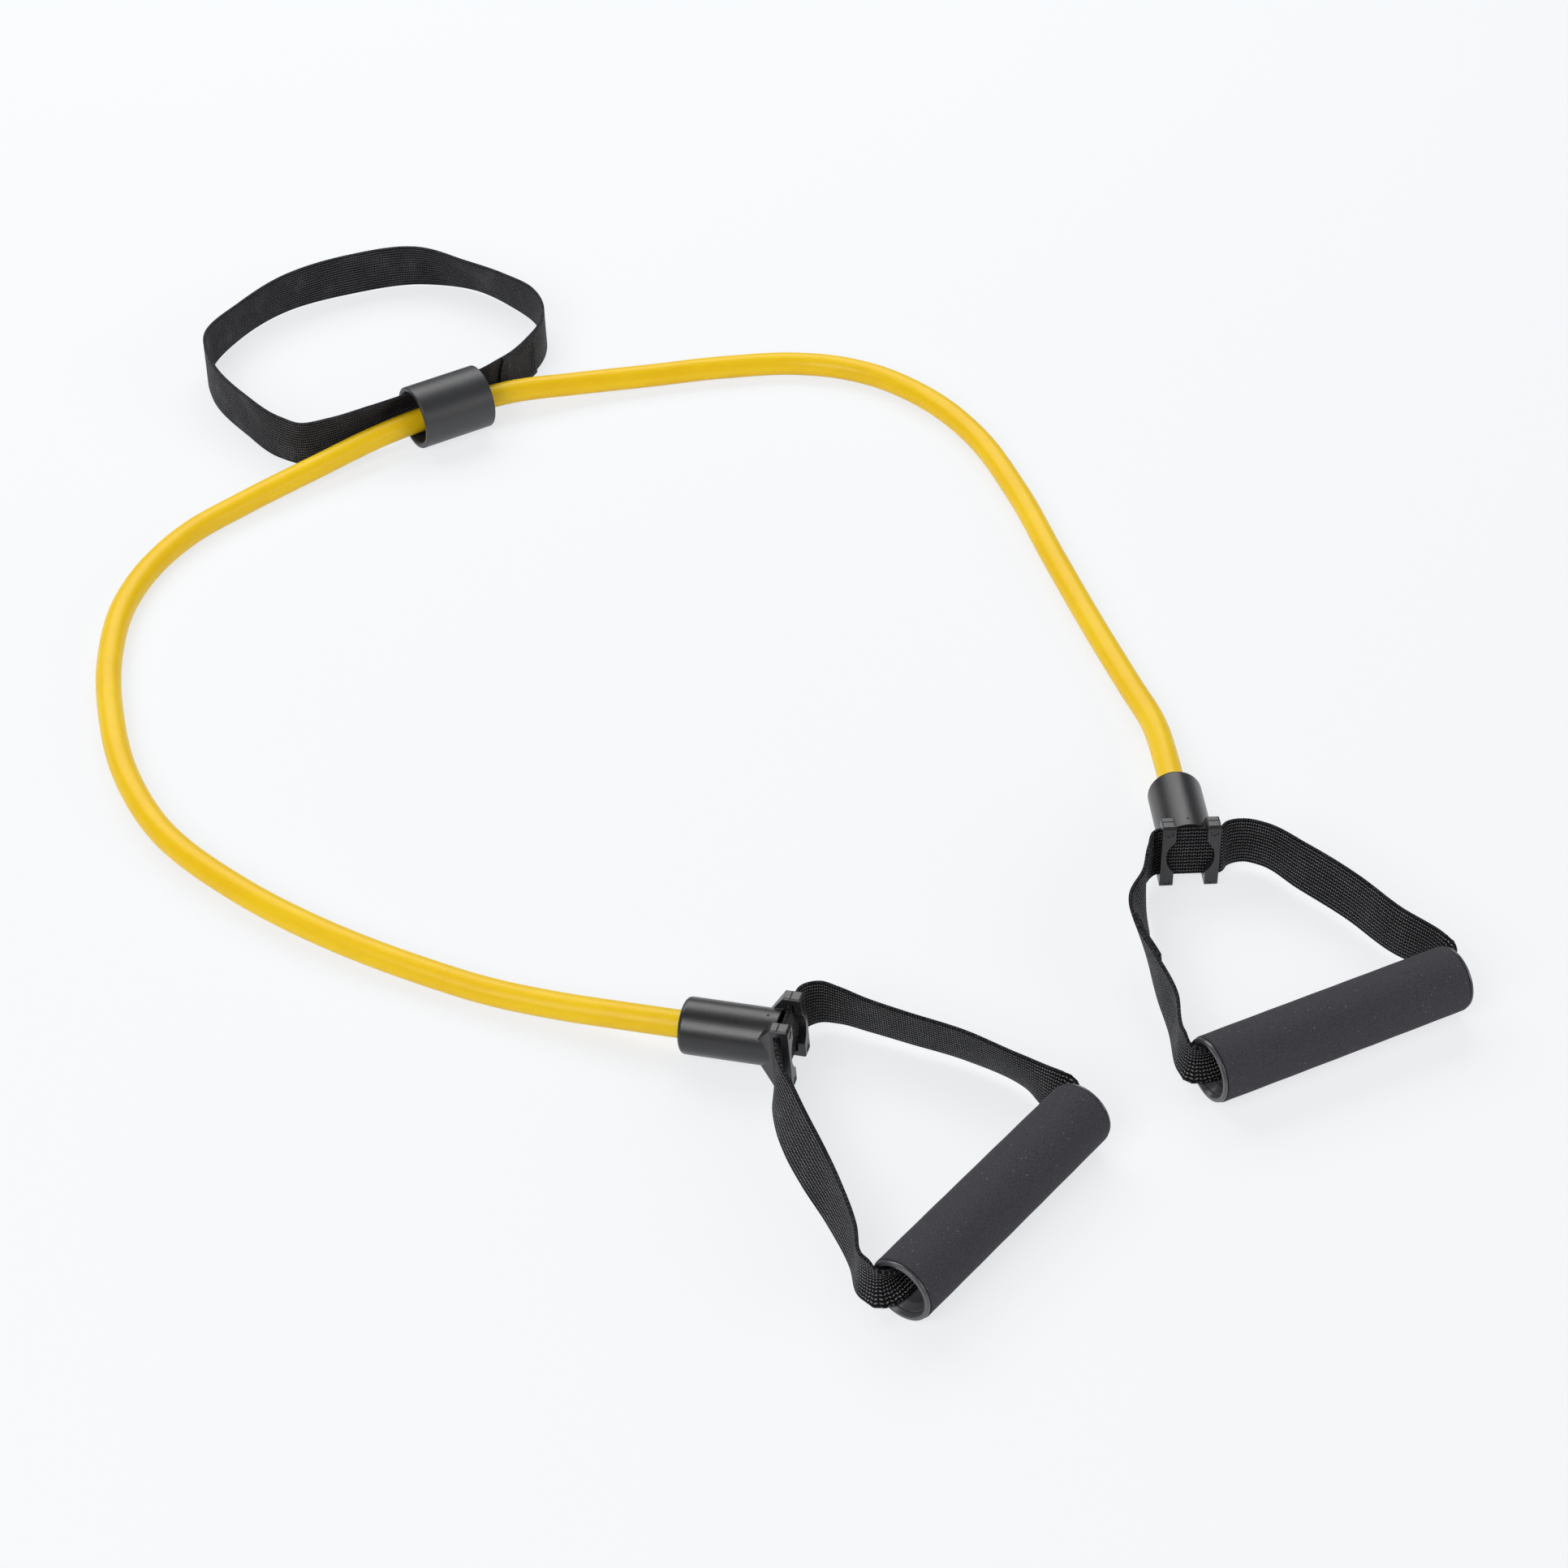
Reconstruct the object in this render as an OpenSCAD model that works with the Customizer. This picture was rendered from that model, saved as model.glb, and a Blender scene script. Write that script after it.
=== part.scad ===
// Tube resistance band: an elastic tube with a webbing handle at each end
// and a webbing anchor loop on a sliding sleeve, laid out on a floor.

/* [Tube] */
// Outside diameter of the elastic tube
tube_od = 12; // [10:0.5:14]
// Bore of the elastic tube
tube_bore = 7; // [5:0.5:8]
// Length of tube held inside each connector
tube_seat = 25; // [22:1:30]
// Largest diameter of the stopper that spreads the tube's end
plug_d = 11; // [10:0.5:13]
// Diameter of the stopper's head
plug_head_d = 15; // [13:0.5:17]
// Thickness of the stopper's head
plug_head_t = 2.5; // [1.5:0.5:4]

/* [Webbing] */
// Width of all the webbing
web_w = 25; // [22:0.5:28]
// Thickness of all the webbing
web_t = 1.5; // [1:0.1:1.8]

/* [Connector] */
// Outside diameter of the connector's cup
cup_od = 24.5; // [22:0.5:27]
// Wall of the cup
cup_wall = 1.5; // [1:0.1:2.5]
// Length of the cup from its back to its mouth
cup_len = 42; // [36:1:50]
// Thickness of the cup's back
cup_back = 3; // [2:0.5:4]
// Radius of the cup's back edge
cup_round = 2; // [0.5:0.5:2.5]
// Width over the two jaws
jaw_span = 26; // [25:0.5:30]
// Width of one jaw
jaw_w = 6; // [5:0.2:6.6]
// Thickness of a jaw's wing, behind the strap
wing_t = 1.4; // [1:0.1:2]
// Slot between wing and bar
slot_w = 3; // [2.4:0.1:3.4]
// Thickness of the bar in front of the strap
bar_t = 3.4; // [2:0.2:4]
// Height of the bridges above and below the slot
bridge_h = 3.2; // [2:0.2:5]
// Length of the gusset that carries a jaw
gusset_len = 7; // [4:0.5:10]
// Chamfer at the ends of a bar
bar_chamfer = 1; // [0.4:0.1:1.5]
// Corner radius of a jaw, seen from the front
jaw_round = 0.9; // [0.4:0.1:1.5]
// Diameter of the ejector marks on a bar
mark_d = 3.6; // [2:0.2:4.4]

/* [Grip] */
// Length of a grip over its two end rings
grip_len = 124; // [100:1:150]
// Outside diameter of the foam
foam_od = 29; // [27:0.5:36]
// Outside diameter of the hard core
core_od = 22; // [21:0.5:24]
// Bore of the hard core
core_bore = 18; // [17:0.5:19]
// Wall of the ring's spigot inside the core
spigot_wall = 1; // [0.6:0.1:1.4]
// Length of the ring's spigot inside the core
spigot_len = 10; // [6:1:20]
// Outside diameter of an end ring
ring_od = 28; // [26:0.5:29]
// Height of an end ring beyond the foam
ring_h = 1.8; // [1.6:0.1:3]
// Length of the ring's shoulder inside the foam
shoulder_len = 4; // [3:0.5:6]
// Diameter of the ring's flared mouth
mouth_d = 24.4; // [23:0.2:25]
// Depth of the ring's flare
flare_depth = 5; // [4:0.5:6]

/* [Anchor] */
// Outside diameter of the sleeve
sleeve_od = 33; // [31:0.5:37]
// Wall of the sleeve
sleeve_wall = 3; // [2:0.25:3.5]
// Length of the sleeve
sleeve_len = 40; // [30:1:50]
// Edge radius of the sleeve
sleeve_round = 0.8; // [0.3:0.1:1.2]
// Tube's distance behind the middle of the sleeve
tube_offset = 2.6; // [2:0.1:2.8]

/* [Fits] */
// Radial play of the tube in the cup's hole
tube_play = 0.1; // [0.05:0.05:0.3]
// Play of the webbing at the sides of a slot, bore or sleeve
web_play = 0.35; // [0.2:0.05:0.6]

// Radial play between a grip's core, rings and foam
core_play = 0.05; // [0.02:0.01:0.1]

/* [Layout] */
// Middle of the front grip, X
front_grip_x = 92.5; // [85:0.5:100]
// Middle of the front grip, Y
front_grip_y = -325; // [-335:0.5:-320]
// Turn of the front grip
front_grip_turn = 51.5; // [40:0.5:60]
// Middle of the rear grip, X
rear_grip_x = 239; // [235:0.5:245]
// Middle of the rear grip, Y
rear_grip_y = -225; // [-232:0.5:-218]
// Turn of the rear grip
rear_grip_turn = 27; // [20:0.5:35]

/* [Hidden] */
$fn = 64;
eps = 0.01;

// Route of the tube's middle line, from the end in the front cup to the end in the rear cup.
// The first three and the last three points lie on the cups' own axes.
route = [[-8, -231, 14.7], [-32, -224, 12.7], [-56, -217, 10.7], [-86, -207.5, 7.8], [-116, -197, 6.2],
    [-148, -183, 6.2], [-189, -161, 6.2], [-230.5, -132, 6.2], [-270.5, -92.5, 6.2],
    [-292.5, -52.5, 6.2], [-305.5, -10.5, 6.2], [-313, 35.5, 6.2], [-312, 78, 6.2],
    [-302.5, 110.5, 6.2], [-287.5, 137, 6.2], [-265, 161.5, 6.2], [-232, 190, 8.2], [-198.5, 216, 11.4],
    [-167.5, 236.5, 12.3], [-134.5, 256, 11.4], [-102, 268.5, 8.2], [-63, 279, 6.4], [-23, 287.5, 6.2],
    [17.5, 291, 6.2], [39, 287.5, 6.2], [59, 279, 6.2], [77, 265.5, 6.2], [93.5, 247.5, 6.2],
    [108, 224.5, 6.2], [128, 172.5, 6.2], [143.5, 115.5, 6.2], [158.5, 62, 6.2], [173.5, 12.5, 6.2],
    [181.5, -15.5, 7.6], [185, -49.5, 10.7], [186.25, -73.5, 12.7], [187.5, -97.5, 14.7]];
// The point of the route in the middle of the sleeve
sleeve_at = 18;
tube_sides = 12;
tube_steps = 2;

// Legs of the straps between slot and grip: [share of the way, bulge outwards, lean inwards]
front_near_leg = [[0.08, 3.5, 4], [0.2, 4.5, 15], [0.34, 4.3, 19], [0.48, 2.8, 18],
    [0.68, 0, 10], [0.88, -1.3, 3]];
front_far_leg = [[0, 6, -3], [0.05, 12.3, 3], [0.12, 13.4, 9], [0.24, 12.6, 14],
    [0.4, 12, 16], [0.63, 11.4, 17], [0.87, 5.6, 15]];
rear_near_leg = [[0.08, 5.8, 3], [0.21, 7.9, -5], [0.33, 11.2, -22], [0.46, 11.2, -19],
    [0.64, 6.9, -6], [0.84, 1.2, 2]];
rear_far_leg = [[0, 5, -4], [0.05, 12.2, 0], [0.12, 14.9, 0], [0.32, 13, -6],
    [0.58, 8.9, -6], [0.82, 1.8, -5]];
// Curl of a strap where it meets the lip of a grip's ring
lip_curl = 24;
// Sewn overlap of each strap: first and last place along its list of points
front_seam = [14.3, 14.84];
rear_seam = [5.75, 7.05];
anchor_seam = [4.25, 6.3];

// Route of the anchor strap outside the sleeve: [x, y, z, lean inwards, curl]
anchor_route = [[-144.5, 263, 15.2, 0, 55], [-135, 273.5, 13.6, 0, 20], [-127.5, 286, 13.2, 0, 5],
    [-120.5, 304.5, 13.2, 0, 0], [-120.5, 320.5, 13.2, 2, 0], [-127, 338, 13.2, 6, 0],
    [-142, 354, 13, 14, 0], [-165, 370.5, 12.8, 20, 0], [-193, 379.5, 13.2, 3, 0],
    [-231, 370, 13.2, 0, 0], [-264, 350.5, 13.2, 6, 0], [-285.5, 322.5, 13.2, 8, 0],
    [-298.5, 291.5, 13.2, 0, 0], [-292, 263.5, 13.2, 2, 0], [-270.5, 231.5, 13.2, 2, 0],
    [-250, 210.5, 13.2, 4, 0], [-239.5, 205.5, 13.2, 2, 4], [-225, 210.5, 13.6, 0, 20],
    [-206.5, 221.5, 15, 0, 60]];
web_cells = 6;
web_steps = 3;
seam_step = 0.03;

up = [0, 0, 1];
cup_bore = cup_od - 2 * cup_wall;
jaw_depth = wing_t + slot_w + bar_t;
slot_at = cup_len + wing_t + slot_w / 2;
window_h = web_w + 2 * web_play;
jaw_h = window_h + 2 * bridge_h;
gusset_sink = 5.4;
spread_d = sqrt(pow(tube_od, 2) - pow(tube_bore, 2) + pow(plug_d, 2));
plug_run = 0.44 * tube_seat;
cone_run = 0.32 * tube_seat;
foam_len = grip_len - 2 * ring_h;
core_len = foam_len - 2 * shoulder_len;
bore_mid = core_bore / 2 - web_play - web_t / 2;
bore_curl = web_w / bore_mid * 180 / PI;
sleeve_bore = sleeve_od - 2 * sleeve_wall;
sleeve_mid = sleeve_bore / 2 - web_play - web_t / 2;
sleeve_curl = web_w / sleeve_mid * 180 / PI;

function unit(v) = v / norm(v);
function xyz(p) = [p[0], p[1], p[2]];
function flat_unit(v) = unit([v[0], v[1], 0]);
function last(list) = list[len(list) - 1];

// Middle line of a strap or tube: a smooth curve through points p at place u, one unit a point.
function item(p, i, closed) = closed ? p[(i + len(p)) % len(p)] : p[max(0, min(len(p) - 1, i))];
function gap(p, i, closed) = max(eps, norm(xyz(item(p, i + 1, closed)) - xyz(item(p, i, closed))));
function slope(p, i, closed) =
    let (a = gap(p, i - 1, closed), b = gap(p, i, closed))
    let (before = (item(p, i, closed) - item(p, i - 1, closed)) / a)
    let (after = (item(p, i + 1, closed) - item(p, i, closed)) / b)
    (!closed && i == 0) ? after :
    (!closed && i == len(p) - 1) ? before :
    (before * b + after * a) / (a + b);
function curve(p, u, closed) =
    let (i = floor(u), t = u - floor(u), d = gap(p, i, closed))
    t < eps / 10 ? item(p, i, closed) :
    item(p, i, closed) * (2 * pow(t, 3) - 3 * pow(t, 2) + 1)
    + slope(p, i, closed) * d * (pow(t, 3) - 2 * pow(t, 2) + t)
    + item(p, i + 1, closed) * (3 * pow(t, 2) - 2 * pow(t, 3))
    + slope(p, i + 1, closed) * d * (pow(t, 3) - pow(t, 2));

// Places u along a closed strap, with a close pair at each end of its sewn overlap.
function strap_places(count, seam) =
    let (n = count * web_steps)
    [for (i = [0 : n - 1])
        let (here = i / web_steps, next = (i + 1) / web_steps)
        each concat([here], [for (edge = seam, side = [-1, 1])
            if (edge + side * seam_step > here && edge + side * seam_step < next) edge + side * seam_step])];

// One ring of a strap: a row of points on its inner face, then one on its outer face.
function strap_ring(c, t, inner, outer) =
    let (side = unit(cross(up, t)), rise = cross(t, side), lean = c[3], turn = max(0.5, c[4]))
    let (wide = rise * cos(lean) + side * sin(lean), in = side * cos(lean) - rise * sin(lean))
    let (r = web_w * 180 / PI / turn)
    let (angles = [for (j = [0 : web_cells]) turn * (j / web_cells - 0.5)])
    [for (k = [0 : 2 * web_cells + 1])
        let (a = k <= web_cells ? angles[k] : angles[2 * web_cells + 1 - k])
        let (off = k <= web_cells ? inner : -outer)
        xyz(c) + wide * r * sin(a) - in * r * (1 - cos(a)) + off * (in * cos(a) + wide * sin(a))];

// Faces between count rings of size points each, closed on themselves.
function ring_faces(count, size) =
    [for (i = [0 : count - 1], j = [0 : size - 1], half = [0, 1])
        let (k = (j + 1) % size, n = (i + 1) % count)
        half == 0 ? [i * size + j, i * size + k, n * size + k] : [i * size + j, n * size + k, n * size + j]];

// A closed loop of webbing through points, doubled between the two places of its seam.
module webbing_loop(points, seam, seam_inside) {
    places = strap_places(len(points), seam);
    rings = [for (u = places)
        let (ahead = curve(points, u + 0.05, true), behind = curve(points, u - 0.05 + len(points), true))
        let (t = unit(xyz(ahead) - xyz(behind)), sewn = u > seam[0] && u < seam[1] ? web_t : 0)
        strap_ring(curve(points, u, true), t,
            web_t / 2 + (seam_inside ? sewn : 0), web_t / 2 + (seam_inside ? 0 : sewn))];
    polyhedron([for (r = rings) each r], ring_faces(len(rings), 2 * (web_cells + 1)), convexity = 10);
}

// Axis of a connector, from its tube's end: origin on the cup's back, pointing out of its mouth.
front_axis = unit(route[0] - route[1]);
rear_axis = unit(last(route) - route[len(route) - 2]);
front_back = route[0] - tube_seat * front_axis;
rear_back = last(route) - tube_seat * rear_axis;

// Stands children, built along +Z with +Y up, on the line from origin along axis.
module along(origin, axis) {
    left = unit(cross(up, axis));
    rise = cross(axis, left);
    multmatrix([[left[0], rise[0], axis[0], origin[0]],
        [left[1], rise[1], axis[1], origin[1]],
        [left[2], rise[2], axis[2], origin[2]], [0, 0, 0, 1]]) children();
}

// Places of a grip, p outside its end ring and q towards its connector; end is -1 near, 1 far.
function grip_dir(turn) = [cos(turn), sin(turn), 0];
function grip_place(mid, turn, end, p, q) =
    mid + end * (grip_len / 2 + p) * grip_dir(turn) + q * grip_dir(turn + 90);

// The strap's way out of a grip's bore and over the lip of its end ring.
function lip_points(mid, turn, end) =
    let (mouth = mouth_d / 2 - web_play - web_t / 2)
    [for (row = [[-flare_depth - 5, bore_mid, bore_curl], [-flare_depth - 0.5, bore_mid, bore_curl],
        [-flare_depth / 2, (bore_mid + mouth) / 2 - 1, 150],
        [0.15, mouth - 1.1, 112], [1.35, mouth + 1.3, 2 * lip_curl], [1.45, ring_od / 2 + 2.6, lip_curl]])
        concat(grip_place(mid, turn, end, row[0], row[1]), [0, row[2]])];

// Points of one leg, from the connector's slot to the grip's lip, bulging to the out side.
function leg_points(from, to, out, leg) =
    [for (row = leg)
        let (way = xyz(from) + row[0] * (xyz(to) - xyz(from)) + row[1] * out)
        [way[0], way[1], way[2], row[2], max(0, lip_curl * (row[0] - 0.6) / 0.4)]];
function reversed(list) = [for (i = [len(list) - 1 : -1 : 0]) list[i]];

// All points of a handle strap, counter-clockwise from the middle of its connector's slot.
function handle_points(back, axis, mid, turn, near_leg, far_leg) =
    let (left = unit(cross(up, axis)), slot = back + slot_at * axis, tilt = -asin(axis[2]))
    let (lateral = [for (q = [-jaw_span / 2 - 1, -jaw_span / 3, 0, jaw_span / 3, jaw_span / 2 + 1])
        concat(slot + q * left, [tilt, 0])])
    let (near = lip_points(mid, turn, -1), far = lip_points(mid, turn, 1))
    let (near_end = xyz(last(near)), far_end = xyz(last(far)))
    let (near_way = flat_unit(near_end - xyz(lateral[0])), far_way = flat_unit(far_end - xyz(lateral[4])))
    concat([lateral[2], lateral[1], lateral[0]],
        leg_points(lateral[0], near_end, cross(near_way, up), near_leg), reversed(near),
        [concat(grip_place(mid, turn, 0, 0, bore_mid), [0, bore_curl])], far,
        reversed(leg_points(lateral[4], far_end, cross(up, far_way), far_leg)),
        [lateral[4], lateral[3]]);

front_mid = [front_grip_x, front_grip_y, foam_od / 2];
rear_mid = [rear_grip_x, rear_grip_y, foam_od / 2];

// The sleeve lies on the floor along the tube, with the tube on the strap at the back of its bore.
sleeve_dir = flat_unit(route[sleeve_at + 1] - route[sleeve_at - 1]);
sleeve_back = cross(up, sleeve_dir);
sleeve_mid_point = [route[sleeve_at][0], route[sleeve_at][1], sleeve_od / 2] - tube_offset * sleeve_back;
anchor_points = concat([for (x = [-sleeve_len / 2 - 1, -sleeve_len / 4, sleeve_len / 4, sleeve_len / 2 + 1])
    concat(sleeve_mid_point + x * sleeve_dir + sleeve_mid * sleeve_back, [0, sleeve_curl])], anchor_route);

// Outer and inner radius of the tube at a distance from its end.
function swell(s) = s <= plug_run ? 1 : s >= plug_run + cone_run ? 0 : 1 - (s - plug_run) / cone_run;
function tube_r(s) = (tube_od + (spread_d - tube_od) * swell(s)) / 2;
function tube_bore_r(s) = (tube_bore + (plug_d - tube_bore) * swell(s)) / 2;

// Rings of the tube: [middle, direction, distance from the nearer end]
seat_steps = [0, plug_run, plug_run + cone_run];
tube_stations = concat(
    [for (s = seat_steps) [route[0] - s * front_axis, -front_axis, s]],
    [for (i = [1 : len(route) - 3], j = [0 : tube_steps - 1])
        let (u = i + j / tube_steps)
        let (ahead = curve(route, u + 0.05, false), behind = curve(route, u - 0.05, false))
        [curve(route, u, false), unit(ahead - behind), tube_seat]],
    [[route[len(route) - 2], rear_axis, tube_seat]],
    [for (s = reversed(seat_steps)) [last(route) - s * rear_axis, rear_axis, s]]);

function tube_ring(station, r) =
    let (side = unit(cross(station[1], up)), rise = cross(side, station[1]))
    [for (k = [0 : tube_sides - 1])
        let (a = 360 * k / tube_sides)
        station[0] + r * (side * cos(a) + rise * sin(a))];

// The elastic tube, hollow all the way and spread over a stopper at each end.
module band_tube() {
    n = len(tube_stations);
    m = tube_sides;
    points = concat([for (s = tube_stations) each tube_ring(s, tube_r(s[2]))],
        [for (s = tube_stations) each tube_ring(s, tube_bore_r(s[2]))]);
    skin = [for (i = [0 : n - 2], j = [0 : m - 1], half = [0, 1], wall = [0, n * m])
        let (k = (j + 1) % m, a = wall + i * m + j, b = wall + i * m + k, c = b + m, d = a + m)
        let (face = half == 0 ? [a, b, c] : [a, c, d])
        wall == 0 ? face : reversed(face)];
    ends = [for (i = [0, n - 1], j = [0 : m - 1], half = [0, 1])
        let (k = (j + 1) % m, a = i * m + j, b = i * m + k, c = b + n * m, d = a + n * m)
        let (face = half == 0 ? [a, c, b] : [a, d, c])
        i == 0 ? face : reversed(face)];
    color("gold") polyhedron(points, concat(skin, ends), convexity = 10);
}

// Stopper pushed into the end of the tube: a tapered nose, a barrel and a head.
module tube_plug(back, axis) {
    fit = 0.05;
    seat_in = tube_seat - plug_run;
    color("dimgray") along(back, axis) rotate_extrude()
        polygon([[0, seat_in - cone_run], [tube_bore / 2 - 4 * fit, seat_in - cone_run],
            [plug_d / 2 - 4 * fit, seat_in], [plug_d / 2 - 4 * fit, tube_seat + fit],
            [plug_head_d / 2, tube_seat + fit],
            [plug_head_d / 2, tube_seat + plug_head_t - 0.5],
            [plug_head_d / 2 - 0.5, tube_seat + plug_head_t], [0, tube_seat + plug_head_t]]);
}
module front_plug() { tube_plug(front_back, front_axis); }
module rear_plug() { tube_plug(rear_back, rear_axis); }

// Side view of the jaws: gusset, wing, slot and bar in one outline. The gusset starts inside the cup's wall.
module jaw_side() {
    front = cup_len + jaw_depth;
    high = jaw_h / 2;
    root = cup_od / 2 - gusset_sink;
    difference() {
        polygon([[cup_len - gusset_len, root], [cup_len, high], [front - bar_chamfer, high],
            [front, high - bar_chamfer], [front, bar_chamfer - high], [front - bar_chamfer, -high],
            [cup_len, -high], [cup_len - gusset_len, -root]]);
        translate([cup_len + wing_t, -window_h / 2]) square([slot_w, window_h]);
    }
}

// One jaw, to the left of the cup's mouth, tapering back into the cup's side.
module jaw() {
    inside = jaw_span / 2 - jaw_w;
    front = cup_len + jaw_depth;
    flank = cup_od / 2 - gusset_sink / 2;
    intersection() {
        translate([jaw_span / 2, 0, 0]) rotate([0, -90, 0]) linear_extrude(jaw_w) jaw_side();
        translate([0, jaw_h, 0]) rotate([90, 0, 0]) linear_extrude(2 * jaw_h)
            polygon([[inside, cup_len - gusset_len], [flank, cup_len - gusset_len],
                [jaw_span / 2, cup_len], [jaw_span / 2, front], [inside, front]]);
        linear_extrude(front) {
            translate([inside, jaw_round - jaw_h / 2]) square([jaw_w, jaw_h - 2 * jaw_round]);
            translate([inside + jaw_round, -jaw_h / 2]) square([jaw_w - 2 * jaw_round, jaw_h]);
            for (x = [inside + jaw_round, jaw_span / 2 - jaw_round], y = [-1, 1])
                translate([x, y * (jaw_h / 2 - jaw_round)]) circle(jaw_round);
        }
    }
}

// Moulded connector: a cup for the tube's end, with two slotted jaws that hold the strap.
module connector(back, axis) {
    front = cup_len + jaw_depth;
    mark_depth = 0.3;
    line_w = 0.4;
    pit_d = 1.2;
    color([0.16, 0.16, 0.17]) along(back, axis) difference() {
        union() {
            rotate_extrude() {
                translate([0, cup_round]) square([cup_od / 2, cup_len - cup_round]);
                square([cup_od / 2 - cup_round, cup_len]);
                translate([cup_od / 2 - cup_round, cup_round]) circle(cup_round);
            }
            jaw();
            mirror([1, 0, 0]) jaw();
        }
        translate([0, 0, cup_back]) cylinder(d = cup_bore, h = front);
        translate([0, 0, -eps]) cylinder(d = tube_od + 2 * tube_play, h = cup_back + 1);
        for (x = [-1, 1], y = [-1, 1]) {
            translate([x * (jaw_span - jaw_w) / 2, y * (jaw_h / 2 - bridge_h), front - mark_depth])
                cylinder(d = mark_d, h = 1);
            translate([x * (jaw_span - jaw_w) / 2, y * jaw_h / 2, slot_at])
                cube([jaw_w + 1, 2 * mark_depth, line_w], center = true);
        }
        translate([0, cup_od / 2, cup_len - cup_wall * 3]) rotate([90, 0, 0])
            cylinder(d = pit_d, h = 2 * mark_depth, center = true);
    }
}
module front_connector() { connector(front_back, front_axis); }
module rear_connector() { connector(rear_back, rear_axis); }

// Webbing strap of a handle: through the jaws, along both legs and through the grip's bore.
module front_handle_strap() {
    color([0.1, 0.1, 0.11]) webbing_loop(
        handle_points(front_back, front_axis, front_mid, front_grip_turn, front_near_leg, front_far_leg),
        front_seam, false);
}
module rear_handle_strap() {
    color([0.1, 0.1, 0.11]) webbing_loop(
        handle_points(rear_back, rear_axis, rear_mid, rear_grip_turn, rear_near_leg, rear_far_leg),
        rear_seam, true);
}

// Hard core of a grip: a tube counterbored at both ends for the end rings.
module grip_core(mid, turn) {
    half = core_len / 2;
    seat = core_bore / 2 + spigot_wall;
    color([0.13, 0.13, 0.14]) translate(mid) rotate([0, 90, turn]) rotate_extrude()
        polygon([[seat, -half], [core_od / 2, -half], [core_od / 2, half], [seat, half],
            [seat, half - spigot_len], [core_bore / 2, half - spigot_len],
            [core_bore / 2, spigot_len - half], [seat, spigot_len - half]]);
}
module front_grip_core() { grip_core(front_mid, front_grip_turn); }
module rear_grip_core() { grip_core(rear_mid, rear_grip_turn); }

// End ring of a grip: a spigot in the core, a shoulder in the foam and a rim with a grooved neck
// and a flared mouth.
module end_ring(mid, turn, end) {
    groove = 0.5;
    edge = 0.7;
    rim = ring_od / 2;
    spigot = core_bore / 2 + spigot_wall - core_play;
    tip = core_play - shoulder_len - spigot_len;
    color([0.13, 0.13, 0.14]) translate(mid) rotate([0, 90 * end, turn])
        translate([0, 0, foam_len / 2]) rotate_extrude()
            polygon([[core_bore / 2, tip], [spigot, tip], [spigot, -shoulder_len],
                [core_od / 2, -shoulder_len], [core_od / 2, 0], [rim - 1.2, 0],
                [rim - 1.2, groove], [rim, groove], [rim, ring_h - edge],
                [rim - 0.3 * edge, ring_h - 0.3 * edge], [rim - edge, ring_h],
                [mouth_d / 2, ring_h], [core_bore / 2, ring_h - flare_depth]]);
}
module front_near_ring() { end_ring(front_mid, front_grip_turn, -1); }
module front_far_ring() { end_ring(front_mid, front_grip_turn, 1); }
module rear_near_ring() { end_ring(rear_mid, rear_grip_turn, -1); }
module rear_far_ring() { end_ring(rear_mid, rear_grip_turn, 1); }

// Foam cover of a grip, cut off square with its edges just broken.
module foam_grip(mid, turn) {
    edge = 0.5;
    half = foam_len / 2;
    inner = core_od / 2 + core_play;
    color([0.2, 0.2, 0.21]) translate(mid) rotate([0, 90, turn]) rotate_extrude() {
        translate([inner, -half]) square([foam_od / 2 - edge - inner, 2 * half]);
        translate([inner, edge - half]) square([foam_od / 2 - inner, 2 * (half - edge)]);
        for (y = [-1, 1]) translate([foam_od / 2 - edge, y * (half - edge)]) circle(edge);
    }
}
module front_foam_grip() { foam_grip(front_mid, front_grip_turn); }
module rear_foam_grip() { foam_grip(rear_mid, rear_grip_turn); }

// Sleeve that slides on the tube and gathers the anchor strap against it.
module anchor_sleeve() {
    half = sleeve_len / 2;
    outer = sleeve_od / 2;
    inner = sleeve_bore / 2;
    bevel = sleeve_wall / 3;
    color([0.22, 0.23, 0.24]) translate(sleeve_mid_point)
        rotate([0, 90, atan2(sleeve_dir[1], sleeve_dir[0])]) rotate_extrude() {
            polygon([[inner, bevel - half], [inner + bevel, -half], [outer - sleeve_round, -half],
                [outer, sleeve_round - half], [outer, half - sleeve_round], [outer - sleeve_round, half],
                [inner + bevel, half], [inner, half - bevel]]);
            for (y = [-1, 1])
                translate([outer - sleeve_round, y * (half - sleeve_round)]) circle(sleeve_round);
        }
}

// Webbing loop for a foot, a post or a door, passing through the sleeve behind the tube.
module anchor_strap() {
    color([0.1, 0.1, 0.11]) webbing_loop(anchor_points, anchor_seam, false);
}

band_tube();
front_plug();
rear_plug();
front_connector();
rear_connector();
front_handle_strap();
rear_handle_strap();
front_grip_core();
rear_grip_core();
front_near_ring();
front_far_ring();
rear_near_ring();
rear_far_ring();
front_foam_grip();
rear_foam_grip();
anchor_sleeve();
anchor_strap();
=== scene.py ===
"""Looks of a tube resistance band: elastic tube, two strap handles and an anchor loop on a floor."""

import logging
import math
from dataclasses import dataclass
from enum import Enum
from typing import Sequence

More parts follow.
